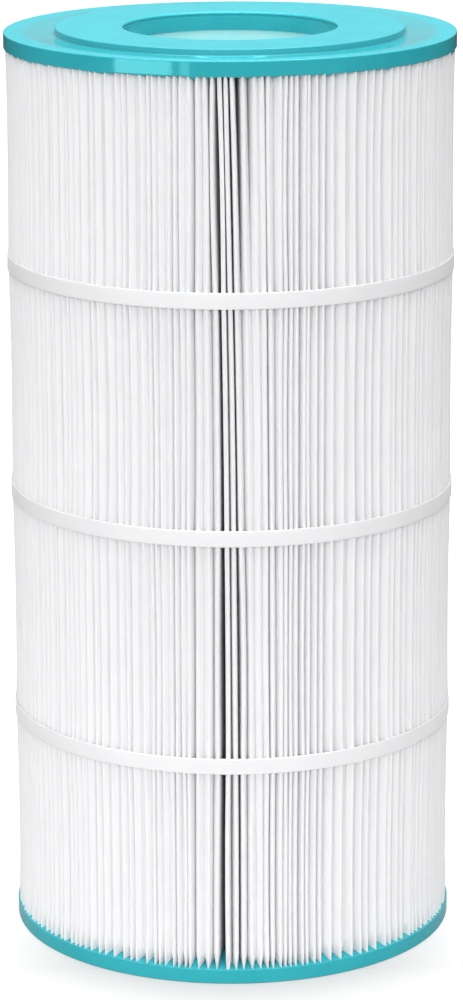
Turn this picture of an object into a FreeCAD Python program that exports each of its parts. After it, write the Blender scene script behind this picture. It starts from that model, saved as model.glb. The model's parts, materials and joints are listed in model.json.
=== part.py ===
"""Pleated filter cartridge: two cast end caps, a folded filter sheet, its bands and a sectional core.

The axis is +Z. The origin is at the centre of the bottom end cap's resting face.
"""
import FreeCAD, Part
import math
import os
import Sketcher

# Driving dimensions in millimetres, degrees or counts.
DRIVING_DIMENSIONS = [
    ("overall_length", 441.3),  # resting face to raised face, 17 3/8 inches
    ("cap_diameter", 214.4),  # 8 7/16 inches
    ("port_diameter", 101.6),  # 4 inches, the same at both ends
    ("port_lip_radius", 1.8),
    ("cap_depth", 7.0),  # rim plane to the level of the cast resin
    ("cap_edge_radius", 0.8),
    ("face_diameter", 165.6),  # raised sealing face around the top port
    ("face_step", 1.9),  # how far the raised face stands above the rim
    ("face_edge_radius", 0.5),
    ("dish_diameter", 202.0),
    ("dish_depth", 1.2),  # the outer ring sinks towards the raised face
    ("witness_diameter", 170.6),  # ring groove under the bottom cap
    ("witness_depth", 0.8),
    ("core_bore", 103.2),
    ("core_wall", 2.8),
    ("core_embed", 3.0),  # how far the core is cast into each cap
    ("core_sections", 6),
    ("spigot_length", 4.0),
    ("spigot_gap", 0.05),
    ("window_columns", 24),
    ("window_rows", 5),
    ("window_width", 8.4),
    ("window_height", 7.6),
    ("window_corner_radius", 1.5),
    ("window_margin", 9.0),  # solid ring at each end of a core section
    ("media_tip_diameter", 212.6),
    ("media_root_diameter", 110.0),
    ("media_thickness", 0.55),
    ("media_cover", 2.5),  # resin outside the ends of the folded sheet
    ("pleat_count", 160),
    ("crest_width", 1.6),
    ("root_width", 0.6),
    ("seam_angle", 268.5),
    ("seam_gap", 0.8),
    ("band_diameter", 214.3),
    ("band_thickness", 0.55),
    ("band_height", 7.8),
    ("band_lap_angle", 11.0),
    ("bead_inner_diameter", 212.64),  # just outside the corners of the crests
    ("bead_height", 5.0),
    ("lower_band_level", 108.3),
    ("middle_band_level", 218.7),
    ("upper_band_level", 330.4),
]
BAND_NAMES = ("lower", "middle", "upper")
BAND_LAP_DIRECTION = 135.0  # degrees from +X to the start of each band's lap
SEAM_BEAD_START = 0.05  # share of the end leg, from the crest inwards
SEAM_BEAD_END = 0.45
FULL_TURN = 360.0
CLOSE = 1e-4

doc = FreeCAD.newDocument("filter_cartridge")
sheet = doc.addObject("Spreadsheet::Sheet", "Sizes")
for row, (alias, number) in enumerate(DRIVING_DIMENSIONS, start=1):
    sheet.set(f"A{row}", str(number))
    sheet.setAlias(f"A{row}", alias)
doc.recompute()


class Size:
    """A length together with the sheet expression that it follows."""

    def __init__(self, value, rule):
        self.value = value
        self.rule = rule

    def __add__(self, other):
        return Size(self.value + other.value, f"({self.rule} + {other.rule})")

    def __sub__(self, other):
        return Size(self.value - other.value, f"({self.rule} - {other.rule})")

    def __mul__(self, factor):
        return Size(self.value * factor, f"({self.rule} * {factor})")

    def __truediv__(self, divisor):
        return Size(self.value / divisor, f"({self.rule} / {divisor})")

    def __neg__(self):
        return Size(-self.value, f"(0 - {self.rule})")


ZERO = Size(0.0, "0")


def size(alias):
    return Size(float(sheet.get(alias)), f"Sizes.{alias}")


def count(alias):
    return int(sheet.get(alias))


def origin_feature(body, role):
    return next(item for item in body.Origin.OriginFeatures if item.Role == role)


def new_sketch(body, name):
    """A sketch on the plane through the body's axis."""
    sketch = body.newObject("Sketcher::SketchObject", name)
    sketch.AttachmentSupport = (origin_feature(body, "XZ_Plane"), [""])
    sketch.MapMode = "FlatFace"
    return sketch


def hold(sketch, kind, line, coordinate):
    """Ties one coordinate of a line's start point to the sheet."""
    if coordinate.value == 0:
        axis = -2 if kind == "DistanceX" else -1
        sketch.addConstraint(Sketcher.Constraint("PointOnObject", line, 1, axis))
        return
    index = sketch.addConstraint(Sketcher.Constraint(kind, line, 1, coordinate.value))
    sketch.setExpression(f"Constraints[{index}]", coordinate.rule)


def draw_outline(sketch, corners):
    """Closed outline of straight lines through corners given as (radius, height)."""
    first = sketch.GeometryCount
    total = len(corners)
    points = [FreeCAD.Vector(across.value, up.value, 0) for across, up in corners]
    for i in range(total):
        sketch.addGeometry(Part.LineSegment(points[i], points[(i + 1) % total]))
    for i in range(total):
        meet = Sketcher.Constraint("Coincident", first + i, 2, first + (i + 1) % total, 1)
        sketch.addConstraint(meet)
    for i, (across, up) in enumerate(corners):
        hold(sketch, "DistanceX", first + i, across)
        hold(sketch, "DistanceY", first + i, up)


def revolve(body, name, corners):
    """Turns the outline through corners a full turn round the body's axis."""
    sketch = new_sketch(body, name + "_profile")
    draw_outline(sketch, corners)
    turned = body.newObject("PartDesign::Revolution", name)
    turned.Profile = sketch
    turned.ReferenceAxis = (sketch, ["V_Axis"])
    turned.Angle = FULL_TURN
    return turned


def rectangle(inner, outer, low, high):
    return [(inner, low), (outer, low), (outer, high), (inner, high)]


def round_rings(body, name, base, radius, rings):
    """Rounds the circular edges of base at each (radius, height) in rings."""
    doc.recompute()
    edges = []
    for number, edge in enumerate(base.Shape.Edges, start=1):
        if not isinstance(edge.Curve, Part.Circle):
            continue
        for across, up in rings:
            same_radius = abs(edge.Curve.Radius - across.value) < CLOSE
            if same_radius and abs(edge.Curve.Center.z - up.value) < CLOSE:
                edges.append(f"Edge{number}")
    if len(edges) != len(rings):
        raise RuntimeError(f"{name} found {len(edges)} edges of {len(rings)}")
    fillet = body.newObject("PartDesign::Fillet", name)
    fillet.Base = (base, edges)
    fillet.setExpression("Radius", radius.rule)
    return fillet


def place(item, height, direction=0.0):
    item.Placement = FreeCAD.Placement(
        FreeCAD.Vector(0, 0, height.value),
        FreeCAD.Rotation(FreeCAD.Vector(0, 0, 1), direction),
    )
    item.setExpression("Placement.Base.z", height.rule)


def cut(name, base, tool):
    result = doc.addObject("Part::Cut", name)
    result.Base = base
    result.Tool = tool
    result.Refine = False
    return result


port_radius = size("port_diameter") / 2
cap_radius = size("cap_diameter") / 2
face_radius = size("face_diameter") / 2
core_inner = size("core_bore") / 2
core_outer = core_inner + size("core_wall")
core_joint = core_inner + size("core_wall") / 2
cap_depth = size("cap_depth")
core_embed = size("core_embed")
resin_top = size("overall_length") - size("face_step") - cap_depth
core_length = resin_top - cap_depth + core_embed * 2
section_length = core_length / count("core_sections")


def make_top_cap_casting():
    """Cast cap with a raised face, a dished outer ring and a seat for the core's end."""
    body = doc.addObject("PartDesign::Body", "top_cap_casting")
    face_level = cap_depth + size("face_step")
    dish_level = cap_depth - size("dish_depth")
    corners = [
        (port_radius, ZERO),
        (port_radius, face_level),
        (face_radius, face_level),
        (face_radius, dish_level),
        (size("dish_diameter") / 2, cap_depth),
        (cap_radius, cap_depth),
        (cap_radius, ZERO),
        (core_outer, ZERO),
        (core_outer, core_embed),
        (core_inner, core_embed),
        (core_inner, ZERO),
    ]
    slab = revolve(body, "top_cap_slab", corners)
    lip = round_rings(
        body, "top_port_lip", slab, size("port_lip_radius"), [(port_radius, face_level)]
    )
    face = round_rings(
        body,
        "top_face_edges",
        lip,
        size("face_edge_radius"),
        [(face_radius, face_level), (face_radius, dish_level)],
    )
    round_rings(body, "top_rim_edge", face, size("cap_edge_radius"), [(cap_radius, cap_depth)])
    place(body, resin_top)
    return body


def make_bottom_cap_casting():
    """Cast cap that the cartridge stands on, with a seat for the core's end."""
    body = doc.addObject("PartDesign::Body", "bottom_cap_casting")
    seat_level = cap_depth - core_embed
    witness_radius = size("witness_diameter") / 2
    corners = [
        (port_radius, ZERO),
        (port_radius, cap_depth),
        (core_inner, cap_depth),
        (core_inner, seat_level),
        (core_outer, seat_level),
        (core_outer, cap_depth),
        (cap_radius, cap_depth),
        (cap_radius, ZERO),
        (witness_radius, ZERO),
        (witness_radius, size("witness_depth")),
        (face_radius, size("witness_depth")),
        (face_radius, ZERO),
    ]
    slab = revolve(body, "bottom_cap_slab", corners)
    lip = round_rings(
        body, "bottom_port_lip", slab, size("port_lip_radius"), [(port_radius, ZERO)]
    )
    round_rings(body, "bottom_rim_edge", lip, size("cap_edge_radius"), [(cap_radius, ZERO)])
    place(body, ZERO)
    return body


def polar(radius, degrees, sideways):
    """A point at radius along a direction, moved sideways by a length across it."""
    angle = math.radians(degrees)
    x = radius * math.cos(angle) - sideways * math.sin(angle)
    y = radius * math.sin(angle) + sideways * math.cos(angle)
    return FreeCAD.Vector(x, y, 0)


def fold_line():
    """Middle line of the folded sheet, from one end at the seam round to the other."""
    pleats = count("pleat_count")
    pitch = FULL_TURN / pleats
    half_sheet = size("media_thickness").value / 2
    crest_radius = size("media_tip_diameter").value / 2 - half_sheet
    root_radius = size("media_root_diameter").value / 2 + half_sheet
    half_crest = size("crest_width").value / 2
    half_root = size("root_width").value / 2
    half_seam = size("seam_gap").value / 2 + half_sheet
    seam = size("seam_angle").value
    points = [polar(crest_radius, seam, half_seam)]
    for pleat in range(pleats):
        root = seam + (pleat + 0.5) * pitch
        points.append(polar(root_radius, root, -half_root))
        points.append(polar(root_radius, root, half_root))
        if pleat < pleats - 1:
            crest = seam + (pleat + 1) * pitch
            points.append(polar(crest_radius, crest, -half_crest))
            points.append(polar(crest_radius, crest, half_crest))
    points.append(polar(crest_radius, seam, -half_seam))
    return points


def offset_line(points, distance):
    """The same line moved to its left by distance, with mitred corners."""
    normals = []
    for start, end in zip(points, points[1:]):
        along = (end - start).normalize()
        normals.append(FreeCAD.Vector(-along.y, along.x, 0))
    moved = [points[0] + normals[0] * distance]
    for i in range(1, len(points) - 1):
        middle = normals[i - 1] + normals[i]
        moved.append(points[i] + middle * (distance / (1 + normals[i - 1].dot(normals[i]))))
    moved.append(points[-1] + normals[-1] * distance)
    return moved


def flat_face(corners):
    return Part.Face(Part.makePolygon(corners + corners[:1]))


def extrude(name, face, low, high):
    """A plate with a computed outline, raised from one level to another."""
    outline = doc.addObject("Part::Feature", name + "_outline")
    outline.Shape = face
    raised = doc.addObject("Part::Extrusion", name)
    raised.Base = outline
    raised.DirMode = "Custom"
    raised.Dir = FreeCAD.Vector(0, 0, 1)
    raised.Solid = True
    raised.setExpression("LengthFwd", (high - low).rule)
    place(raised, low)
    return raised


def make_pleated_media():
    """One folded sheet whose two ends meet at the seam and whose edges reach into both caps."""
    half_sheet = size("media_thickness").value / 2
    middle = fold_line()
    back = offset_line(middle, -half_sheet)
    back.reverse()
    face = flat_face(offset_line(middle, half_sheet) + back)
    cover = size("media_cover")
    return extrude("pleated_media", face, cover, resin_top + cap_depth - cover)


def make_seam_bead():
    """Adhesive that joins the sheet's two end legs, between the caps."""
    facing = offset_line(fold_line(), -size("media_thickness").value / 2)
    first_leg = facing[1] - facing[0]
    last_leg = facing[-2] - facing[-1]
    corners = [
        facing[0] + first_leg * SEAM_BEAD_START,
        facing[0] + first_leg * SEAM_BEAD_END,
        facing[-1] + last_leg * SEAM_BEAD_END,
        facing[-1] + last_leg * SEAM_BEAD_START,
    ]
    return extrude("side_seam_bead", flat_face(corners), cap_depth, resin_top)


def make_band(level_name, level):
    """Flat strap round the pleats, with its end lapped over its start."""
    name = "band_" + level_name
    body = doc.addObject("PartDesign::Body", name)
    outer = size("band_diameter") / 2
    inner = outer - size("band_thickness")
    half = size("band_height") / 2
    revolve(body, name + "_strap", rectangle(inner, outer, -half, half))
    lapped = outer + size("band_thickness")
    lap = revolve(body, name + "_lap", rectangle(outer, lapped, -half, half))
    lap.setExpression("Angle", size("band_lap_angle").rule)
    place(body, level, BAND_LAP_DIRECTION)
    return body


def make_glue_bead(level_name, level):
    """Adhesive line that bonds a band to the crests of the pleats."""
    name = "glue_bead_" + level_name
    body = doc.addObject("PartDesign::Body", name)
    outer = size("band_diameter") / 2 - size("band_thickness")
    inner = size("bead_inner_diameter") / 2
    half = size("bead_height") / 2
    revolve(body, name + "_line", rectangle(inner, outer, -half, half))
    place(body, level)
    return body


def core_profile(has_socket, has_spigot):
    """Half section of a core section, with a socket below and a spigot above."""
    corners = [(core_outer, ZERO), (core_outer, section_length)]
    if has_spigot:
        reach = section_length + size("spigot_length") - size("spigot_gap")
        slim = core_joint - size("spigot_gap")
        corners += [(slim, section_length), (slim, reach), (core_inner, reach)]
    else:
        corners += [(core_inner, section_length)]
    if has_socket:
        depth = size("spigot_length")
        corners += [(core_inner, depth), (core_joint, depth), (core_joint, ZERO)]
    else:
        corners += [(core_inner, ZERO)]
    return corners


def make_window_cutters():
    """Blocks in rings and rows, which cut the windows of one core section."""
    width = size("window_width").value
    height = size("window_height").value
    margin = size("window_margin").value
    rows = count("window_rows")
    columns = count("window_columns")
    pitch = (section_length.value - 2 * margin) / rows
    wall = size("core_wall").value
    near = core_inner.value - wall
    depth = core_outer.value + wall - near
    block = Part.makeBox(depth, width, height, FreeCAD.Vector(near, -width / 2, -height / 2))
    radial = [edge for edge in block.Edges if edge.BoundBox.XLength > depth / 2]
    block = block.makeFillet(size("window_corner_radius").value, radial)
    blocks = []
    for row in range(rows):
        for column in range(columns):
            turn = FreeCAD.Rotation(FreeCAD.Vector(0, 0, 1), column * FULL_TURN / columns)
            middle = FreeCAD.Vector(0, 0, margin + pitch * (row + 0.5))
            copy = block.copy()
            copy.Placement = FreeCAD.Placement(middle, turn)
            blocks.append(copy)
    cutters = doc.addObject("Part::Feature", "core_window_cutters")
    cutters.Shape = Part.makeCompound(blocks)
    return cutters


def make_core_section(number, cutters):
    """Moulded tube with rows of windows, joined to its neighbours by a spigot."""
    name = f"core_section_{number}"
    body = doc.addObject("PartDesign::Body", name + "_body")
    profile = core_profile(number > 1, number < count("core_sections"))
    revolve(body, name + "_tube", profile)
    section = cut(name, body, cutters)
    place(section, cap_depth - core_embed + section_length * (number - 1))
    return section


def check_document():
    doc.recompute()
    for item in doc.Objects:
        if "Invalid" in item.State or "Error" in item.State:
            raise RuntimeError(f"{item.Name} is {item.State}")


def write_nodes(nodes):
    for name, item in nodes.items():
        shape = item.Shape
        if shape.isNull() or not shape.isValid() or len(shape.Solids) != 1:
            raise RuntimeError(f"{name} isn't one valid solid")
        item.Label = name
    os.makedirs("parts", exist_ok=True)
    for name, item in nodes.items():
        item.Shape.exportStep(os.path.join("parts", name + ".step"))
        print(name, round(item.Shape.Volume), "mm3", item.Shape.BoundBox)


media = make_pleated_media()
nodes = {
    "top_end_cap": cut("top_end_cap", make_top_cap_casting(), media),
    "bottom_end_cap": cut("bottom_end_cap", make_bottom_cap_casting(), media),
    "pleated_media": media,
    "side_seam_bead": make_seam_bead(),
}
for band_name in BAND_NAMES:
    band_level = size(band_name + "_band_level")
    nodes["band_" + band_name] = make_band(band_name, band_level)
    nodes["glue_bead_" + band_name] = make_glue_bead(band_name, band_level)
window_cutters = make_window_cutters()
for section in range(1, count("core_sections") + 1):
    nodes[f"core_section_{section}"] = make_core_section(section, window_cutters)
check_document()
write_nodes(nodes)
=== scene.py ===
"""Studio scene of a pleated filter cartridge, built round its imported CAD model.

Lengths are in metres in the CAD frame: +Z is up, and the cartridge stands on z = 0.
"""
import json
import math

import bpy
import numpy as np
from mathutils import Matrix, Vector


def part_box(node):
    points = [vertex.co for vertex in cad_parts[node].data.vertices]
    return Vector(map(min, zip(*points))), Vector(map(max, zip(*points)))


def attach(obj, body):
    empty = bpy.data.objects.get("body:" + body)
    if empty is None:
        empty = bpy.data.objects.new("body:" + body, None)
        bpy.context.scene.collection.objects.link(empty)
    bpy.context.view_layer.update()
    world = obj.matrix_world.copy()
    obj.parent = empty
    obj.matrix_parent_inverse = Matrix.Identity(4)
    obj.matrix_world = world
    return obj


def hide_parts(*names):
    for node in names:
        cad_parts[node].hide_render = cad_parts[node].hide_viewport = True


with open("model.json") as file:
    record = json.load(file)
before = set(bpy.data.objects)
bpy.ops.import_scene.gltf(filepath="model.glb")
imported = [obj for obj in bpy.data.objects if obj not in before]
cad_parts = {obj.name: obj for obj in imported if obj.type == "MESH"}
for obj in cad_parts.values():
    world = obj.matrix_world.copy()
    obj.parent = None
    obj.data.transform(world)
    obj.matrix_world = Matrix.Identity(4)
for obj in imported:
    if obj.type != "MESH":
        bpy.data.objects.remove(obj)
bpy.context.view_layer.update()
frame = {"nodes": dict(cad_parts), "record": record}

MM = 0.001
BODY = "root"
random = np.random.default_rng(8)
record = frame["record"]

# Places that the frame gives.
top_low, top_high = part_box("top_end_cap")
_, bottom_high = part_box("bottom_end_cap")
media_low, media_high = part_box("pleated_media")
_, bead_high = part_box("glue_bead_middle")
_, core_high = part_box("core_section_6")
cap_radius = top_high.x
face_level = top_high.z
resin_top = top_low.z
resin_floor = bottom_high.z
band_inner = bead_high.x
core_outer = core_high.x
port_radius = next(m["dims"]["r_mm"] for m in record["mounts"] if m["name"] == "top_port") * MM
BANDS = ("lower", "middle", "upper")
band_boxes = {name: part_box("band_" + name) for name in BANDS}
band_levels = [(low.z + high.z) / 2 for low, high in band_boxes.values()]
band_half = (band_boxes["middle"][1].z - band_boxes["middle"][0].z) / 2

# The folded sheet.
PLEATS = 160
SHEET = 0.55 * MM
FRONT = math.radians(270)
ROOT_RADIUS = 55.0 * MM
ROOT_GAP = 0.05 * MM  # half the gap between the two legs of a pleat's root
CREST_SWELL = 0.05 * MM  # how far under a band a crest stops
CREST_SAG = 0.55 * MM  # how far the crests draw in between two bands
CREST_HALF = 0.74 * MM  # half width of a crest
SEAM_CREST_HALF = 1.0 * MM  # the same for the loose crests round the side seam
CREST_POINT = 0.42 * MM  # the same for any crest pinched into the resin
VALLEY_GAP = 0.06 * MM  # half the gap where two pleats lean on each other
VALLEY_FLOOR = 103.2 * MM  # radius at which neighbouring pleats meet
CALM_FLOOR = 104.6 * MM  # the same on the left, where the pleats lie more evenly
PINCH_DEPTH = 5.5 * MM  # how much deeper the gaps run where the resin holds the sheet
PINCH_STRETCH = 2.6  # how much further a pinched crest tapers, for its width
SEAM_LEG = 0.95 * MM  # half width of the crest made by the sheet's two end legs
SEAM_LEG_END = 0.62 * MM  # the same where they enter the resin
# Standard deviations of the plain pleats: spacing, lean, bow, half width and valley floor.
SPACING_SPREAD = 0.34
LEAN_SPREAD = 0.35 * MM
BOW_SPREAD = 0.28 * MM
HALF_SPREAD = 0.08 * MM
FLOOR_SPREAD = 1.0 * MM
# The crests round the side seam: where each enters the bottom cap, how far it leans
# by the time it reaches the top cap and how far it bends between them, in mm sideways.
SEAM_CRESTS = [
    (-20.4, 1.8, 0.0), (-16.3, 1.3, 0.5), (-11.8, 0.1, 0.9), (-7.6, -0.6, 1.5),
    (-2.3, -2.7, 0.7), (1.7, -3.9, 0.3), (5.3, -4.7, 0.2), (9.4, -3.8, 0.0),
    (13.4, -2.7, -0.2), (16.7, -2.4, 0.0), (19.4, -2.3, 0.0), (23.0, -0.3, 0.0),
]
SEAM_INDEX = 4  # which of them is the seam
# How far they bow above the top band, in mm, from the one before the seam.
SEAM_BOWS = (-0.9, 0.35, -0.1, 0.3, 0.0)
LEAN_POWER = 2.0  # the lean grows with this power of the height


def smooth(value, low, high):
    """0 below low, 1 above high and a smooth rise between them."""
    share = np.clip((value - low) / (high - low), 0.0, 1.0)
    return share * share * (3 - 2 * share)


# ---------------------------------------------------------------- pleat layout


class Pleats:
    """Where every fold of the sheet is at any height.

    Crest 0 is the side seam, and gap k lies between crest k and the next. Of each crest, foot is
    its direction at the bottom cap, lean, bend and bow how far it moves sideways above that, and
    half its half width. Of each gap, floor is the radius at which its two sides meet and climb
    how strongly resin has crept into it.
    """

    def __init__(self):
        feet = np.array([crest[0] for crest in SEAM_CRESTS]) * MM
        reach = media_high.x
        seam_feet = np.arcsin(feet / reach)
        count = PLEATS - len(SEAM_CRESTS)
        gaps = np.clip(np.exp(random.normal(0.0, SPACING_SPREAD, count + 1)), 0.58, 2.0)
        arc = 2 * math.pi - (seam_feet[-1] - seam_feet[0])
        steps = gaps / gaps.sum() * arc
        others = seam_feet[-1] + np.cumsum(steps)[:-1]
        feet_all = np.concatenate([seam_feet, others])
        order = (np.arange(PLEATS) + SEAM_INDEX) % PLEATS
        feet_all = feet_all[order]
        feet_all[feet_all < feet_all[0]] += 2 * math.pi
        self.foot = FRONT + feet_all
        seam = (np.arange(len(SEAM_CRESTS)) - SEAM_INDEX) % PLEATS
        plain = np.ones(PLEATS, bool)
        plain[seam] = False
        self.lean = np.zeros(PLEATS)
        self.lean[seam] = np.array([crest[1] for crest in SEAM_CRESTS]) * MM
        self.lean[plain] = random.normal(0.0, LEAN_SPREAD, plain.sum())
        self.bend = np.zeros(PLEATS)
        self.bend[seam] = np.array([crest[2] for crest in SEAM_CRESTS]) * MM
        self.levels = [resin_floor, *band_levels, resin_top]
        self.bow = random.normal(0.0, BOW_SPREAD, (len(self.levels) - 1, PLEATS))
        self.bow[-1, np.arange(len(SEAM_BOWS)) - 1] = np.array(SEAM_BOWS) * MM
        half = random.normal(CREST_HALF, HALF_SPREAD, PLEATS)
        self.half = np.clip(half, 0.62 * MM, 0.92 * MM)
        self.half[~plain] = SEAM_CREST_HALF
        self.floor = random.normal(VALLEY_FLOOR, FLOOR_SPREAD, PLEATS)
        turned = FRONT + 2 * math.pi - self.foot  # how far to the left of the front
        calm = smooth(turned, math.radians(11), math.radians(17))
        calm *= 1 - smooth(turned, math.radians(95), math.radians(130))
        self.floor += 0.85 * calm * (CALM_FLOOR - self.floor)
        self.climb = random.uniform(0.45, 1.0, PLEATS)
        self.climb[random.random(PLEATS) < 0.2] *= 1.6
        following = np.append(self.foot[1:], self.foot[0] + 2 * math.pi)
        self.climb *= np.clip((following - self.foot) * PLEATS / (2 * math.pi), 0.5, 1.5)

    def crest(self, z):
        """Crest directions at height z."""
        share = np.clip((z - resin_floor) / (resin_top - resin_floor), 0.0, 1.0)
        sideways = self.lean * share**LEAN_POWER + self.bend * math.sin(math.pi * share)
        for low, high, bow in zip(self.levels, self.levels[1:], self.bow):
            if low < z < high:
                sideways = sideways + bow * math.sin(math.pi * (z - low) / (high - low))
        return self.foot + sideways / media_high.x

    def reach(self, z):
        """Radius of the crests at height z: they swell under the bands and are cast at the caps."""
        full = band_inner - CREST_SWELL
        nearest = min(abs(z - level) for level in band_levels)
        held = math.exp(-((max(nearest - band_half, 0.0) / (26 * MM)) ** 1.3))
        cap_end = min(abs(z - resin_floor), abs(z - resin_top))
        cast = math.exp(-((cap_end / (14 * MM)) ** 2))
        return full - CREST_SAG * (1 - held) * (1 - 0.8 * cast)

    def seam_leg(self, z):
        """Half the width of the crest made by the sheet's two end legs."""
        return SEAM_LEG + (SEAM_LEG_END - SEAM_LEG) * self.pinch(z)

    def pinch(self, z):
        """0 in the open span, 1 where the sheet enters the resin."""
        foot = 1 - smooth(z, resin_floor, resin_floor + 7 * MM)
        head = smooth(z, resin_top - 4 * MM, resin_top)
        return max(foot, 0.45 * head)

    def valley_floor(self, z):
        """Radius at which the two sides of each gap meet; the gaps at the seam run deep."""
        floor = self.floor - PINCH_DEPTH * self.pinch(z)
        # Gaps counted from the seam, their radii there and how fully these apply at this height.
        high_up = smooth(z, 0.32, 0.43)
        mid_way = smooth(z, 0.16, 0.24) * (1 - high_up)
        low_down = 1 - smooth(z, 0.03, 0.12)
        for gap, radius, share in (
            (-2, 92 * MM, high_up),
            (-1, 77 * MM + 7 * MM * mid_way, 1.0),
            (0, 100 * MM - 17 * MM * high_up, 1.0),
            (1, 93 * MM - 6 * MM * high_up, 1 - 0.4 * low_down),
            (2, 85 * MM, high_up),
            (3, 98 * MM, high_up),
        ):
            floor[gap] += (radius - floor[gap]) * share
        return floor


pleats = Pleats()


def on_circle(radius, direction, sideways=0.0):
    """Points at a radius and direction, moved sideways along the circle's tangent."""
    x = radius * np.cos(direction) - sideways * np.sin(direction)
    y = radius * np.sin(direction) + sideways * np.cos(direction)
    return np.stack([x, y], axis=-1)


def sheet_side(z, inset, crest_turns, wall_shares):
    """One side of the folded sheet at height z, from the seam round to the seam again.

    inset is how far the side lies inside the outer side, crest_turns the directions of the
    points round each crest, and wall_shares the places of points between floor and crest.
    """
    crest = pleats.crest(z)
    following = np.append(crest[1:], crest[0] + 2 * math.pi)
    middle = (crest + following) / 2
    reach = pleats.reach(z)
    pinch = pleats.pinch(z)
    half = pleats.half * (1 - pinch) + CREST_POINT * pinch
    depth = half * (1 + PINCH_STRETCH * pinch)
    floor = pleats.valley_floor(z)

    def wall(radius, side):
        """The wall on one side of every gap at a radius between its floor and the crests."""
        share = np.clip((radius - floor) / (reach - depth - floor), 0.0, 1.0)
        own = half if side < 0 else np.append(half[1:], half[0])
        open_gap = (following - crest) / 2 * reach - own
        gap = VALLEY_GAP + (open_gap - VALLEY_GAP) * share
        return on_circle(radius, middle, side * (np.maximum(gap, VALLEY_GAP) + inset))

    root_centre = ROOT_RADIUS + ROOT_GAP + SHEET
    root_bend = ROOT_GAP + inset
    root_left = on_circle(root_centre, middle, -root_bend)
    root_base = on_circle(root_centre - root_bend, middle)
    root_right = on_circle(root_centre, middle, root_bend)
    radii = [floor + (reach - depth - floor) * share for share in wall_shares]
    leaving = [wall(radius, -1) for radius in radii]
    meeting = [wall(radius, 1) for radius in radii]
    rounds = []
    for turn in crest_turns:
        across = np.maximum(half - inset, 0.04 * MM) * math.sin(turn)
        along = (depth - inset) * math.cos(turn)
        rounds.append(on_circle(reach - depth + along, crest, across))
    leg = pleats.seam_leg(z) - inset
    blocks = [on_circle(reach, crest[:1], leg)]
    blocks += [points[:1] for points in reversed(leaving)]
    for k in range(PLEATS):
        blocks += [root_left[k : k + 1], root_base[k : k + 1], root_right[k : k + 1]]
        blocks += [points[k : k + 1] for points in meeting]
        if k < PLEATS - 1:
            blocks += [points[k + 1 : k + 2] for points in rounds]
            blocks += [points[k + 1 : k + 2] for points in reversed(leaving)]
    blocks.append(on_circle(reach, crest[:1], -leg))
    flat = np.concatenate(blocks)
    return np.column_stack([flat, np.full(len(flat), z)])


def row_heights():
    """Heights of the sheet's rows: close together where it bends, at the caps and the bands."""
    rows = [media_low.z, resin_floor - 0.3 * MM]
    rows += [resin_floor + rise * MM for rise in (1.0, 2.6, 4.6, 7.2, 11.0, 18.0, 36.0, 66.0)]
    for i, level in enumerate(band_levels):
        rows += [level - band_half - MM, level + band_half + MM]
        if i < 2:
            gap = band_levels[i + 1] - level
            rows += [level + gap * share for share in (0.27, 0.5, 0.73)]
    rows += [resin_top - drop * MM for drop in (68.0, 45.0, 26.0, 13.0, 6.0, 2.4)]
    rows += [resin_top + 0.3 * MM, media_high.z]
    return rows


# Directions round a crest and shares of the way up a wall, on each side of the sheet.
OUTER_TURNS, OUTER_SHARES = np.radians([-84, -42, 0, 42, 84]), (0.0, 0.55)
INNER_TURNS, INNER_SHARES = np.radians([-80, 0, 80]), (0.0,)


def new_mesh(name, points, faces, sharp_angle=math.radians(50)):
    """A mesh shaded smooth except where it bends more than an angle."""
    mesh = bpy.data.meshes.new(name)
    mesh.from_pydata([tuple(map(float, p)) for p in points], [], faces)
    mesh.validate()
    mesh.update()
    mesh.polygons.foreach_set("use_smooth", [True] * len(mesh.polygons))
    mesh.set_sharp_from_angle(angle=sharp_angle)
    return mesh


def add_piece(name, mesh, material, slot, *nodes):
    """A mesh that stands for some CAD nodes and rides with the cartridge."""
    piece = bpy.data.objects.new(name, mesh)
    bpy.context.scene.collection.objects.link(piece)
    piece.data.materials.append(material)
    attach(piece, BODY)
    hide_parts(*nodes)
    return piece


def root_index(gap, crest_turns, wall_shares):
    """Which point of a side is the bottom of a gap."""
    return 2 + len(wall_shares) + gap * (3 + len(crest_turns) + 2 * len(wall_shares))


def build_media(material):
    """The folded sheet: one closed skin with an outer and an inner side."""
    rows = row_heights()
    outer = [sheet_side(z, 0.0, OUTER_TURNS, OUTER_SHARES) for z in rows]
    inner = [sheet_side(z, SHEET, INNER_TURNS, INNER_SHARES) for z in rows]
    wide, narrow = len(outer[0]), len(inner[0])
    ring = wide + narrow
    points = np.concatenate([np.concatenate([a, b]) for a, b in zip(outer, inner)])
    faces = []
    for row in range(len(rows) - 1):
        here, there = row * ring, (row + 1) * ring
        for i in range(wide - 1):
            faces.append((here + i, here + i + 1, there + i + 1, there + i))
        for i in range(wide, ring - 1):
            faces.append((here + i + 1, here + i, there + i, there + i + 1))
        faces.append((here + wide, here, there, there + wide))
        faces.append((here + wide - 1, here + ring - 1, there + ring - 1, there + wide - 1))
    # The sheet's top and bottom edges are closed one pleat at a time, from root to root.
    cuts = [(0, 0)]
    for k in range(PLEATS):
        outer_root = root_index(k, OUTER_TURNS, OUTER_SHARES)
        cuts.append((outer_root, root_index(k, INNER_TURNS, INNER_SHARES)))
    cuts.append((wide - 1, narrow - 1))
    last = (len(rows) - 1) * ring
    for (a, b), (c, d) in zip(cuts, cuts[1:]):
        loop = list(range(a, c + 1)) + [wide + i for i in range(d, b - 1, -1)]
        faces.append(tuple(reversed(loop)))
        faces.append(tuple(last + i for i in loop))
    mesh = new_mesh("pleated_sheet", points, faces, math.radians(70))
    piece = add_piece("pleated_sheet", mesh, material, "filter_fabric", "pleated_media")
    return piece


# ---------------------------------------------------------------- turned pieces


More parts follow.
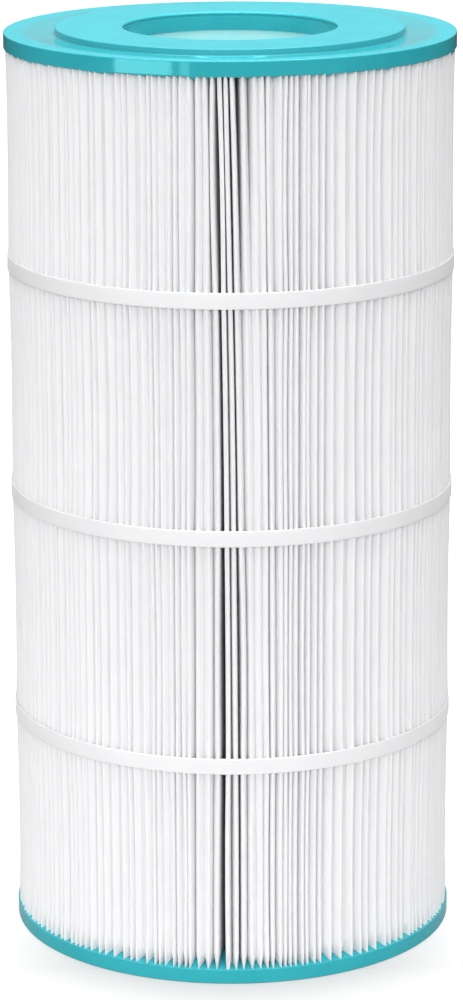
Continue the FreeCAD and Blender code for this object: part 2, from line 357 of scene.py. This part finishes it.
def ring_mesh(name, rings, sharp_angle):
    """Closed surface through profiles, given as an array of direction x profile x (x, y, z)."""
    turns, corners = rings.shape[:2]
    faces = []
    for i in range(turns):
        after = (i + 1) % turns
        for j in range(corners):
            beyond = (j + 1) % corners
            here, there = i * corners, after * corners
            faces.append((here + j, here + beyond, there + beyond, there + j))
    return new_mesh(name, rings.reshape(-1, 3), faces, sharp_angle)


def rounded(centre, radius, start, end, steps):
    """Arc points as (radius, height), from one angle in degrees to another."""
    angles = np.radians(np.linspace(start, end, steps))
    return [(centre[0] + radius * math.cos(a), centre[1] + radius * math.sin(a)) for a in angles]


GAP_STEPS = 6  # points round a cap's edge from one crest to the next


def gap_directions(z):
    """Directions round a cap, locked to the crests, with the share of the way across each gap."""
    crest = pleats.crest(z)
    following = np.append(crest[1:], crest[0] + 2 * math.pi)
    shares = np.arange(GAP_STEPS) / GAP_STEPS
    directions = (crest[:, None] + (following - crest)[:, None] * shares).ravel()
    return directions, np.tile(shares, PLEATS), np.repeat(np.arange(PLEATS), GAP_STEPS)


def cap_rings(profile, z, creep, ripple=None):
    """A cap's profile turned about the axis.

    creep lists how far the resin at each of its points has crept between two pleats, away from
    the cap, and ripple gives how far its surface is from true.
    """
    directions, shares, gap = gap_directions(z)
    between = np.minimum(1.0, 1.5 * np.sin(math.pi * shares)) * pleats.climb[gap]
    radii = np.array([p[0] for p in profile])
    heights = np.array([p[1] for p in profile])
    z_all = heights[None, :] + between[:, None] * np.array(creep)[None, :]
    if ripple:
        z_all = z_all + ripple(directions[:, None], radii[None, :], heights[None, :])
    x = radii[None, :] * np.cos(directions)[:, None]
    y = radii[None, :] * np.sin(directions)[:, None]
    return np.stack([x, y, z_all], axis=-1)


# How far the resin has crept along the pleats at some radii, in mm, and at the caps' edges.
CREEP_RADII = (106.75, 106.3, 105.4, 104.0, 102.0, 99.0, 96.0, 93.0, 89.0, 85.0)
BOTTOM_CREEP = (0.12, 0.25, 0.5, 0.95, 1.5, 2.2, 2.8, 3.2, 3.5, 2.0)
BOTTOM_EDGE_CREEP = 0.1
TOP_CREEP = (0.75, 0.95, 1.15, 1.4, 1.8, 2.3, 2.8, 3.2, 3.5, 2.0)
TOP_EDGE_CREEP = 0.5

# The top of the top cap: a raised face round the port, a step down into a dished ring, and a rim.
FACE_RADIUS = 82.8 * MM
FACE_ROUND = 0.5 * MM
FACE_LINES = (60, 68, 76)  # mm
RIM_LEVEL = face_level - 1.9 * MM
RIM_ROUND = 0.5 * MM
DISH_FOOT = RIM_LEVEL - 1.2 * MM
DISH_RADIUS = 101 * MM
DISH_LINES = (83.9, 84.2, 84.3, 84.4, 84.5, 84.6, 85.1, 86.5, 88.0, 90.0, 93.0, 96.0, 98.5)  # mm
FOOT_ROUND = 0.35 * MM
LIP_ROUND = 1.0 * MM  # round the port
LIP_GROOVE = 0.45 * MM  # mould line just below it
LOWER_ROUND = 0.25 * MM  # on the inner edge of both rims
HOLD = 0.12 * MM  # from a rounded edge to the line that keeps the face beside it flat
SINK = 0.85 * MM  # depth of the sink mark
# The underside: a shallow ring groove outside the same radius as the raised face.
RING_OUTER = 85.3 * MM
RING_DEPTH = 0.8 * MM
RING_BEVEL = 0.3 * MM


def top_ripple(direction, radius, height):
    """The cast top isn't quite true: long waves, and a sink mark before the raised face."""
    above = height > RIM_LEVEL - 2 * MM
    wave = 0.06 * MM * np.sin(2 * direction + 0.7)
    wave = wave + 0.04 * MM * np.sin(5 * direction + 80 * radius)
    wave = wave * smooth(radius, FACE_RADIUS + 2 * MM, DISH_RADIUS)
    turn = np.abs(direction - FRONT - math.radians(0.2))
    turn = np.minimum(turn, np.abs(turn - 2 * math.pi))
    across = 1 - smooth(turn, math.radians(3), math.radians(14))
    sink = smooth(radius, FACE_RADIUS + 1.4 * MM, FACE_RADIUS + 1.8 * MM)
    sink = sink * (1 - smooth(radius, FACE_RADIUS + 2.2 * MM, FACE_RADIUS + 13 * MM))
    return np.where(above, wave, 0.0) - np.where(above, SINK * across * sink, 0.0)


def build_top_cap(material):
    """The top casting, from the port's lower edge over the face, step, dish and rim."""
    wall_foot = FACE_RADIUS + FOOT_ROUND
    profile = [(port_radius, resin_top), (port_radius, resin_top + 3 * MM)]
    below = face_level - LIP_ROUND - HOLD
    profile += [(port_radius, below - 1.2 * MM), (port_radius + LIP_GROOVE, below - MM)]
    profile += [(port_radius + LIP_GROOVE, below - 0.3 * MM), (port_radius, below)]
    profile += rounded((port_radius + LIP_ROUND, face_level - LIP_ROUND), LIP_ROUND, 180, 90, 8)
    profile += [(port_radius + LIP_ROUND + HOLD, face_level)]
    profile += [(radius * MM, face_level) for radius in FACE_LINES]
    profile += [(FACE_RADIUS - FACE_ROUND - HOLD, face_level)]
    profile += rounded((FACE_RADIUS - FACE_ROUND, face_level - FACE_ROUND), FACE_ROUND, 90, 0, 5)
    profile += [(FACE_RADIUS, face_level - FACE_ROUND - HOLD)]
    profile += [(FACE_RADIUS, DISH_FOOT + FOOT_ROUND + HOLD)]
    profile += rounded((wall_foot, DISH_FOOT + FOOT_ROUND), FOOT_ROUND, 180, 250, 5)
    slope = (RIM_LEVEL - DISH_FOOT) / (DISH_RADIUS - wall_foot)
    for radius in DISH_LINES:
        profile.append((radius * MM, DISH_FOOT + slope * (radius * MM - wall_foot)))
    profile += [(DISH_RADIUS, RIM_LEVEL - 0.05 * MM), (103 * MM, RIM_LEVEL)]
    profile += [(cap_radius - RIM_ROUND - HOLD, RIM_LEVEL)]
    profile += rounded((cap_radius - RIM_ROUND, RIM_LEVEL - RIM_ROUND), RIM_ROUND, 90, 0, 5)
    profile += [(cap_radius, RIM_LEVEL - RIM_ROUND - HOLD), (cap_radius, resin_top + 3 * HOLD)]
    plain = len(profile)
    profile += rounded((cap_radius - LOWER_ROUND, resin_top + LOWER_ROUND), LOWER_ROUND, 0, -90, 4)
    edge = len(profile) - plain
    profile += [(radius * MM, resin_top) for radius in CREEP_RADII]
    profile += [(core_outer, resin_top)]
    creep = [0.0] * plain + [-TOP_EDGE_CREEP] * edge + [-amount for amount in TOP_CREEP] + [0.0]
    creep = np.array(creep) * MM
    rings = cap_rings(profile, resin_top, creep, top_ripple)
    mesh = ring_mesh("top_cap_casting", rings, math.radians(60))
    return add_piece("top_cap_casting", mesh, material, "cast_urethane", "top_end_cap")


def build_bottom_cap(material):
    """The bottom casting, with a flat underside."""
    profile = [(core_outer, resin_floor)]
    profile += [(radius * MM, resin_floor) for radius in reversed(CREEP_RADII)]
    creep = [0.0, *reversed(BOTTOM_CREEP), BOTTOM_EDGE_CREEP, BOTTOM_EDGE_CREEP]
    profile += rounded((cap_radius - LOWER_ROUND, resin_floor - LOWER_ROUND), LOWER_ROUND, 90, 0, 4)
    profile += [(cap_radius, resin_floor - LOWER_ROUND - HOLD), (cap_radius, RIM_ROUND + HOLD)]
    profile += rounded((cap_radius - RIM_ROUND, RIM_ROUND), RIM_ROUND, 0, -90, 5)
    profile += [(cap_radius - RIM_ROUND - HOLD, 0.0)]
    profile += [(96 * MM, 0.0), (RING_OUTER + RING_BEVEL, 0.0), (RING_OUTER, 0.25 * MM)]
    profile += [(RING_OUTER, RING_DEPTH), (FACE_RADIUS, RING_DEPTH), (FACE_RADIUS, 0.25 * MM)]
    profile += [(FACE_RADIUS - RING_BEVEL, 0.0), (70 * MM, 0.0)]
    profile += rounded((port_radius + LIP_ROUND, LIP_ROUND), LIP_ROUND, 270, 180, 7)
    profile += [(port_radius, resin_floor)]
    creep += [0.0] * (len(profile) - len(creep))
    creep = np.array(creep) * MM
    rings = cap_rings(profile, resin_floor, creep)[:, ::-1]
    mesh = ring_mesh("bottom_cap_casting", rings, math.radians(60))
    return add_piece("bottom_cap_casting", mesh, material, "cast_urethane", "bottom_end_cap")


def swept_mesh(name, points, sharp_angle, inside_out=False):
    """Closed bar through sections, given as an array of station x corner x (x, y, z)."""
    count, corners = points.shape[:2]
    faces = []
    for i in range(count - 1):
        for j in range(corners):
            beyond = (j + 1) % corners
            here, there = i * corners, (i + 1) * corners
            if inside_out:
                faces.append((here + j, there + j, there + beyond, here + beyond))
            else:
                faces.append((here + j, here + beyond, there + beyond, there + j))
    for ring, turned in ((0, not inside_out), (count - 1, inside_out)):
        end = tuple(ring * corners + j for j in range(corners))
        faces.append(end[::-1] if turned else end)
    return new_mesh(name, points.reshape(-1, 3), faces, sharp_angle)


BAND_THICKNESS = 0.55 * MM
BAND_EDGE = 0.24 * MM  # radius of a band's edges
BAND_SKEW = 0.18 * MM  # how far each band sits from level
LAP_START = math.radians(135)
LAP_TURN = math.radians(11)
LAP_RAMP = (2 * math.pi - 0.09, 2 * math.pi - 0.02)  # where the last part climbs on the start


def band_profile(half, edge_steps=4, face_steps=7):
    """Rounded strap section as (distance from the inner face, height)."""
    corners = []
    for centre, start in (
        ((BAND_THICKNESS - BAND_EDGE, -half + BAND_EDGE), -90),
        ((BAND_THICKNESS - BAND_EDGE, half - BAND_EDGE), 0),
        ((BAND_EDGE, half - BAND_EDGE), 90),
        ((BAND_EDGE, -half + BAND_EDGE), 180),
    ):
        corners.append(rounded(centre, BAND_EDGE, start, start + 90, edge_steps))
    low, high = corners[0][-1][1], corners[1][0][1]
    face = [(BAND_THICKNESS, z) for z in np.linspace(low, high, face_steps)[1:-1]]
    return corners[0] + face + corners[1] + corners[2] + corners[3]


def build_band(name, level, material, phase):
    """One strap whose last part rides up over its start."""
    profile = np.array(band_profile(band_half))
    coarse = np.linspace(0, 2 * math.pi - LAP_TURN, 330)
    fine = np.linspace(2 * math.pi - LAP_TURN, 2 * math.pi + LAP_TURN, 90)[1:]
    turns = np.concatenate([coarse, fine])
    step = BAND_THICKNESS * smooth(turns, *LAP_RAMP)
    radii = band_inner + step + 0.02 * MM * np.sin(3 * turns + phase)
    heights = level + BAND_SKEW * np.sin(turns + phase)
    directions = LAP_START + turns
    distance = radii[:, None] + profile[None, :, 0]
    x = distance * np.cos(directions)[:, None]
    y = distance * np.sin(directions)[:, None]
    z = heights[:, None] + np.broadcast_to(profile[None, :, 1], distance.shape)
    points = np.stack([x, y, z], axis=-1)
    mesh = swept_mesh("strap_" + name, points, math.radians(60), inside_out=True)
    return add_piece("strap_" + name, mesh, material, "band_strap", "band_" + name)


ADHESIVE_FOOT = 84 * MM  # radius at which the seam's adhesive starts
ADHESIVE_SHY = 0.12 * MM  # how far short of the crest it ends


def build_seam_bead(material):
    """Hot-melt strip between the two end legs of the sheet, following their lean."""
    shares = np.linspace(0.0, 1.0, 12)
    sections = []
    for z in np.linspace(resin_floor, resin_top, 40):
        crest = pleats.crest(z)[0]
        inside = pleats.seam_leg(z) - SHEET
        outline = []
        for side in (1, -1):
            for share in shares[::side]:
                radius = ADHESIVE_FOOT + (pleats.reach(z) - ADHESIVE_SHY - ADHESIVE_FOOT) * share
                swell = 0.04 * MM * math.sin(900 * z + 5 * share)
                outline.append(on_circle(radius, crest, side * (inside + swell)))
        flat = np.array(outline)
        sections.append(np.column_stack([flat, np.full(len(flat), z)]))
    mesh = swept_mesh("seam_adhesive", np.array(sections), math.radians(50))
    return add_piece("seam_adhesive", mesh, material, "hot_melt_adhesive", "side_seam_bead")


# ---------------------------------------------------------------- materials


class Material:
    """A Principled material with short calls for the nodes in front of it."""

    def __init__(self, name, **constants):
        self.material = bpy.data.materials.new(name)
        self.material.use_nodes = True
        self.tree = self.material.node_tree
        self.shader = self.tree.nodes["Principled BSDF"]
        for socket, value in constants.items():
            self.shader.inputs[socket.replace("_", " ")].default_value = value
        self.place = self.add("ShaderNodeTexCoord").outputs["Object"]

    def add(self, kind, **settings):
        node = self.tree.nodes.new(kind)
        for key, value in settings.items():
            setattr(node, key, value)
        return node

    def link(self, output, node, socket):
        self.tree.links.new(output, node.inputs[socket])

    def noise(self, scale, detail=3.0, stretch=None, roughness=0.55):
        node = self.add("ShaderNodeTexNoise")
        node.inputs["Scale"].default_value = scale
        node.inputs["Detail"].default_value = detail
        node.inputs["Roughness"].default_value = roughness
        place = self.place
        if stretch:
            mapping = self.add("ShaderNodeMapping")
            mapping.inputs["Scale"].default_value = stretch
            self.link(place, mapping, "Vector")
            place = mapping.outputs["Vector"]
        self.link(place, node, "Vector")
        return node.outputs["Fac"]

    def tones(self, value, first, last, start=0.3, end=0.7):
        """A colour that goes from first to last while a value goes from start to end."""
        node = self.add("ShaderNodeValToRGB")
        for element, place, tone in zip(node.color_ramp.elements, (start, end), (first, last)):
            element.position = place
            element.color = (*tone, 1.0)
        self.link(value, node, "Fac")
        return node.outputs["Color"]

    def blend(self, share, first, last):
        """A mix of two colours; the last may be plain numbers."""
        node = self.add("ShaderNodeMix", data_type="RGBA")
        self.link(share, node, 0)
        self.link(first, node, 6)
        if isinstance(last, tuple):
            node.inputs[7].default_value = (*last, 1.0)
        else:
            self.link(last, node, 7)
        return node.outputs[2]

    def remap(self, value, low, high, start=0.3, end=0.7):
        """A number that goes from low to high while a value goes from start to end."""
        node = self.add("ShaderNodeMapRange")
        node.inputs["From Min"].default_value = start
        node.inputs["From Max"].default_value = end
        node.inputs["To Min"].default_value = low
        node.inputs["To Max"].default_value = high
        self.link(value, node, "Value")
        return node.outputs["Result"]

    def math(self, operation, *values):
        node = self.add("ShaderNodeMath", operation=operation)
        for socket, value in enumerate(values):
            if isinstance(value, (int, float)):
                node.inputs[socket].default_value = value
            else:
                self.link(value, node, socket)
        return node.outputs["Value"]

    def axis(self, letter):
        node = self.add("ShaderNodeSeparateXYZ")
        self.link(self.place, node, "Vector")
        return node.outputs[letter]

    def radius(self):
        squares = [self.math("POWER", self.axis(letter), 2.0) for letter in "XY"]
        return self.math("SQRT", self.math("ADD", *squares))

    def bump(self, height, distance, strength=1.0, under=None):
        node = self.add("ShaderNodeBump")
        node.inputs["Strength"].default_value = strength
        node.inputs["Distance"].default_value = distance
        self.link(height, node, "Height")
        if under is not None:
            self.link(under, node, "Normal")
        return node.outputs["Normal"]

    def use(self, output, socket):
        self.link(output, self.shader, socket)


def urethane():
    """Glossy cast resin: faint mottling, the turned rings of its mould and a few air pits."""
    m = Material("cast_urethane", IOR=1.5, Specular_Tint=(0.3, 0.97, 1.0, 1.0))
    m.shader.inputs["Specular IOR Level"].default_value = 0.75
    tone = m.tones(m.noise(45.0, 4.0), (0.033, 0.42, 0.485), (0.041, 0.455, 0.525))
    # Painted shade on the step wall below the raised face: the base colour darkens towards a deeper,
    # greyer teal there.
    off_step = m.math("ABSOLUTE", m.math("SUBTRACT", m.radius(), FACE_RADIUS + 0.2 * MM))
    painted_step_shade = m.remap(off_step, 0.75, 0.0, 0.25 * MM, 0.7 * MM)
    m.use(m.blend(painted_step_shade, tone, (0.05, 0.29, 0.33)), "Base Color")
    above_rim = m.remap(m.axis("Z"), 0.0, 0.22, RIM_LEVEL - 0.4 * MM, RIM_LEVEL)
    grain = m.remap(m.noise(160.0, 3.0), 0.07, 0.11)
    m.use(m.math("ADD", grain, above_rim), "Roughness")
    rings = m.math("SINE", m.math("MULTIPLY", m.radius(), 5200.0))
    normal = m.bump(rings, 0.000004, 0.35)
    normal = m.bump(m.noise(900.0, 2.0), 0.00002, 0.25, normal)
    pits = m.add("ShaderNodeTexVoronoi")
    pits.inputs["Scale"].default_value = 170.0
    m.link(m.place, pits, "Vector")
    hollow = m.remap(pits.outputs["Distance"], 0.0, 1.0, 0.03, 0.07)
    m.use(m.bump(hollow, 0.00012, 0.4, normal), "Normal")
    return m.material


def fabric():
    """Spun-bonded polyester: fine random fibres, calendered smooth, with soft cloudiness."""
    m = Material("filter_fabric", Roughness=0.85, Sheen_Weight=0.12, Sheen_Roughness=0.5)
    m.shader.inputs["Subsurface Weight"].default_value = 0.12
    m.shader.inputs["Subsurface Radius"].default_value = (1.0, 1.0, 1.0)
    m.shader.inputs["Subsurface Scale"].default_value = 1.2 * MM
    m.shader.inputs["Specular IOR Level"].default_value = 0.25
    cloud = m.noise(110.0, 5.0, (1.0, 1.0, 0.55))
    m.use(m.tones(cloud, (0.90, 0.90, 0.914), (0.925, 0.925, 0.936)), "Base Color")
    along = m.noise(900.0, 3.0, (1.0, 1.0, 0.22), 0.7)
    across = m.noise(700.0, 3.0, (0.3, 0.3, 1.0), 0.7)
    normal = m.bump(along, 0.00006, 0.35)
    m.use(m.bump(across, 0.00005, 0.3, normal), "Normal")
    return m.material


def strap():
    """White polypropylene strap with fine draw lines along it."""
    m = Material("band_strap", Roughness=0.38, IOR=1.49, Sheen_Weight=0.35, Sheen_Roughness=0.6)
    tone = m.tones(m.noise(70.0, 3.0), (0.875, 0.875, 0.89), (0.90, 0.90, 0.911))
    m.use(tone, "Base Color")
    lines = m.noise(1.0, 2.0, (60.0, 60.0, 2600.0))
    normal = m.bump(lines, 0.00002, 0.35)
    m.use(m.bump(m.noise(1100.0, 2.0), 0.00001, 0.4, normal), "Normal")
    return m.material


def hot_melt():
    """Milky adhesive, smooth and slightly clear."""
    m = Material("hot_melt_adhesive", Roughness=0.28, Subsurface_Weight=0.2)
    m.shader.inputs["Subsurface Radius"].default_value = (0.001, 0.001, 0.0009)
    tone = m.tones(m.noise(240.0, 3.0), (0.90, 0.90, 0.895), (0.935, 0.935, 0.93))
    m.use(tone, "Base Color")
    m.use(m.bump(m.noise(420.0, 3.0), 0.0002, 0.4), "Normal")
    return m.material


def core_plastic():
    """White moulded polypropylene, tinted light cyan in a band just below the top cap."""
    m = Material("core_plastic", Roughness=0.42, IOR=1.49)
    white = m.tones(m.noise(60.0, 3.0), (0.92, 0.925, 0.93), (0.95, 0.955, 0.96))
    # Light cyan a few mm below the top cap, with a ragged lower edge.
    cyan_top = m.tones(m.noise(130.0, 2.0), (0.40, 0.95, 0.98), (0.47, 0.97, 0.99))
    edge = m.math("MULTIPLY", m.noise(45.0, 3.0), 0.012)
    above = m.math("ADD", m.axis("Z"), edge)
    share = m.remap(above, 0.0, 1.0, resin_top - 9 * MM, resin_top - 4 * MM)
    m.use(m.blend(share, white, cyan_top), "Base Color")
    m.use(m.bump(m.noise(600.0, 2.0), 0.00003, 0.3), "Normal")
    return m.material


def floor_material():
    """White paper: matte, with a glow for the camera alone that makes it read as white.

    The glow is weaker near the cartridge's front, where its soft shadow lies.
    """
    m = Material("studio_floor", Roughness=0.9)
    m.shader.inputs["Specular IOR Level"].default_value = 0.1
    away = m.remap(m.radius(), 0.0, 1.0, 0.3, 1.1)
    m.use(m.tones(away, (0.40, 0.40, 0.40), (0.07, 0.07, 0.07), 0.0, 1.0), "Base Color")
    m.shader.inputs["Emission Color"].default_value = (1.0, 1.0, 1.0, 1.0)
    seen = m.add("ShaderNodeLightPath").outputs["Is Camera Ray"]
    near = m.remap(m.radius(), 0.34, 0.80, 0.115, 0.2)
    beside = m.remap(m.axis("Y"), 0.0, 0.26, -0.085, -0.03)
    near = m.math("MINIMUM", m.math("ADD", near, beside), 0.82)
    glow = m.math("ADD", near, m.remap(m.radius(), 0.0, 0.35, 0.3, 0.9))
    m.use(m.math("MULTIPLY", seen, glow), "Emission Strength")
    return m.material


# ---------------------------------------------------------------- studio

FLOOR_LEVEL = -0.1 * MM  # just under the cartridge, so that their faces don't coincide
# Brightness of the sky near the horizon, by how far a direction turns from the front, and above.
SKY_FRONT = 3.05
SKY_OBLIQUE = 1.2
SKY_SIDE = 0.7
SKY_BACK = 0.38
SKY_ABOVE_FRONT = 0.3
SKY_ABOVE_BACK = 0.2


def build_floor():
    """A wide round of paper whose far edge is out of view."""
    turns, rings = 96, np.geomspace(0.05, 30.0, 24)
    angles = np.arange(turns) * 2 * math.pi / turns
    points = [(0.0, 0.0, FLOOR_LEVEL)]
    for radius in rings:
        points += [(radius * math.cos(a), radius * math.sin(a), FLOOR_LEVEL) for a in angles]
    faces = [(0, 1 + i, 1 + (i + 1) % turns) for i in range(turns)]
    for ring in range(len(rings) - 1):
        here, there = 1 + ring * turns, 1 + (ring + 1) * turns
        for i in range(turns):
            j = (i + 1) % turns
            faces.append((here + i, there + i, there + j, here + j))
    mesh = new_mesh("studio_floor", points, faces)
    floor = bpy.data.objects.new("studio_floor", mesh)
    bpy.context.scene.collection.objects.link(floor)
    mesh.materials.append(floor_material())


def build_world():
    """A sky whose light comes mostly from a narrow part of the front."""
    world = bpy.data.worlds.new("studio")
    bpy.context.scene.world = world
    world.use_nodes = True
    tree = world.node_tree
    background = tree.nodes["Background"]
    place = tree.nodes.new("ShaderNodeTexCoord")
    split = tree.nodes.new("ShaderNodeSeparateXYZ")
    tree.links.new(place.outputs["Generated"], split.inputs["Vector"])

    def math_node(operation, *values):
        node = tree.nodes.new("ShaderNodeMath")
        node.operation = operation
        for socket, value in enumerate(values):
            if isinstance(value, float):
                node.inputs[socket].default_value = value
            else:
                tree.links.new(value, node.inputs[socket])
        return node.outputs["Value"]

    def rise(value, start, end, first, last):
        """A smooth change of brightness over a range of directions."""
        node = tree.nodes.new("ShaderNodeMapRange")
        node.interpolation_type = "SMOOTHSTEP"
        limits = {"From Min": start, "From Max": end, "To Min": first, "To Max": last}
        for socket, number in limits.items():
            node.inputs[socket].default_value = number
        tree.links.new(value, node.inputs["Value"])
        return node.outputs["Result"]

    squares = [math_node("MULTIPLY", split.outputs[axis], split.outputs[axis]) for axis in "XY"]
    level = math_node("SQRT", math_node("ADD", math_node("ADD", *squares), 0.0001))
    turn = math_node("DIVIDE", split.outputs["Y"], level)
    low = rise(turn, -0.97, -0.87, SKY_FRONT, SKY_OBLIQUE)
    low = math_node("ADD", low, rise(turn, -0.75, -0.45, 0.0, SKY_SIDE - SKY_OBLIQUE))
    low = math_node("ADD", low, rise(turn, -0.1, 0.4, 0.0, SKY_BACK - SKY_SIDE))
    above = rise(turn, -0.4, 0.4, SKY_ABOVE_FRONT, SKY_ABOVE_BACK)
    share = rise(split.outputs["Z"], 0.45, 0.75, 0.0, 1.0)
    difference = math_node("SUBTRACT", above, low)
    strength = math_node("ADD", low, math_node("MULTIPLY", difference, share))
    tree.links.new(strength, background.inputs["Strength"])
    background.inputs["Color"].default_value = (1.0, 1.0, 1.0, 1.0)


def add_area(name, place, target, width, height, radiance):
    """A soft panel aimed at a target; radiance is how bright its face looks."""
    light = bpy.data.lights.new(name, "AREA")
    light.shape = "RECTANGLE"
    light.size = width
    light.size_y = height
    light.energy = radiance * math.pi * width * height
    panel = bpy.data.objects.new(name, light)
    panel.location = place
    aim = (Vector(target) - Vector(place)).to_track_quat("-Z", "Y")
    panel.rotation_euler = aim.to_euler()
    bpy.context.scene.collection.objects.link(panel)


STRIP_DISTANCE = 1.6
STRIP_LEVEL = 0.225  # where the rim mirrors it for the camera
STRIP_HEIGHT = 0.14


def build_lights():
    """Two strips on the left for the highlights on the rim, and a large soft panel overhead."""
    strips = (("key_strip", 43.1, 0.85, 5.0), ("key_edge", 21.9, 0.13, 2.8))
    for name, degrees, width, radiance in strips:
        turn = FRONT - math.radians(degrees)
        x, y = STRIP_DISTANCE * math.cos(turn), STRIP_DISTANCE * math.sin(turn)
        target = (0, 0, STRIP_LEVEL)
        add_area(name, (x, y, STRIP_LEVEL), target, width, STRIP_HEIGHT, radiance)
    add_area("overhead", (0.0, 0.1, 2.1), (0, 0.1, 0.4), 1.8, 1.8, 5.9)


def build_camera():
    """A long lens that looks a little down on the cartridge."""
    camera = bpy.data.cameras.new("camera")
    camera.sensor_width = 36.0
    camera.lens = 135.0
    camera.clip_end = 100.0
    view = bpy.data.objects.new("camera", camera)
    view.location = (0.0, -1.771, 0.673)
    view.rotation_euler = (math.radians(90 - 14.67), 0.0, 0.0)
    view.rotation_euler.rotate_axis("Z", math.radians(-0.176))
    bpy.context.scene.collection.objects.link(view)
    bpy.context.scene.camera = view


fabric_look = fabric()
resin_look = urethane()
strap_look = strap()
melt_look = hot_melt()
core_look = core_plastic()

build_media(fabric_look)
build_top_cap(resin_look)
build_bottom_cap(resin_look)
for number, (name, level) in enumerate(zip(BANDS, band_levels)):
    build_band(name, level, strap_look, 1.3 * number)
build_seam_bead(melt_look)
for name, node in frame["nodes"].items():
    if name.startswith("core_section"):
        node.data.materials.clear()
        node.data.materials.append(core_look)
    if name.startswith("glue_bead"):
        node.data.materials.clear()
        node.data.materials.append(melt_look)

build_floor()
build_world()
build_lights()
build_camera()
bpy.context.scene.view_settings.view_transform = "Standard"
